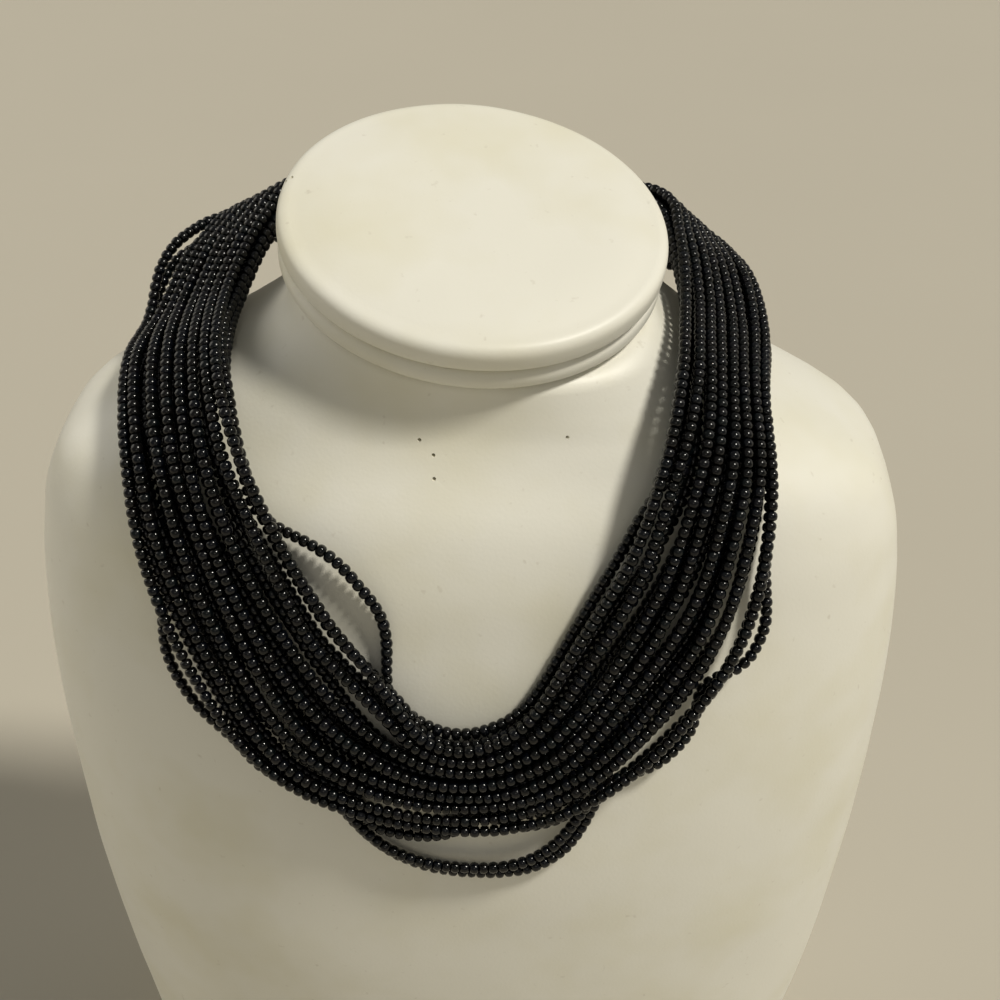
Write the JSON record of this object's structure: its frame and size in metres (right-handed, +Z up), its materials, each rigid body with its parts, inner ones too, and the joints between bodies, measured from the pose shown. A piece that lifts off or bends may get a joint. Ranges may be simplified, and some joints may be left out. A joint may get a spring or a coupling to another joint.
{
  "type": "statement necklace on a neck bust",
  "caption": "Multi-strand seed bead statement necklace with end caps and a barrel clasp, worn by a free-standing leatherette neck bust with a padded oval top",
  "frame": {"origin": "middle of the bust's flat base, on the surface that it stands on", "axes": "+Z up, the front of the bust faces -Y, +X is to the right as seen from the front"},
  "size_m": [0.22, 0.1271, 0.2998],
  "materials": {
    "leatherette": "white leatherette, fine grain, soft sheen",
    "glass_beads": "opaque black glass seed beads, glossy",
    "plated_metal": "plated brass, satin"
  },
  "bodies": {
    "root": {"bust": "leatherette", "neck_rim": "leatherette", "neck_pad": "leatherette", "end_cap_left": "plated_metal", "end_cap_right": "plated_metal", "clasp": "plated_metal", "strand_lower_1": "glass_beads", "strand_lower_2": "glass_beads", "strand_lower_3": "glass_beads", "strand_lower_4": "glass_beads", "strand_lower_5": "glass_beads", "strand_lower_6": "glass_beads", "strand_lower_7": "glass_beads", "strand_lower_8": "glass_beads", "strand_middle_1": "glass_beads", "strand_middle_2": "glass_beads", "strand_middle_3": "glass_beads", "strand_middle_4": "glass_beads", "strand_middle_5": "glass_beads", "strand_middle_6": "glass_beads", "strand_middle_7": "glass_beads", "strand_middle_8": "glass_beads", "strand_upper_1": "glass_beads", "strand_upper_2": "glass_beads", "strand_upper_3": "glass_beads", "strand_upper_4": "glass_beads", "strand_upper_5": "glass_beads", "strand_upper_6": "glass_beads", "strand_upper_7": "glass_beads", "strand_upper_8": "glass_beads"}
  },
  "joints": []
}
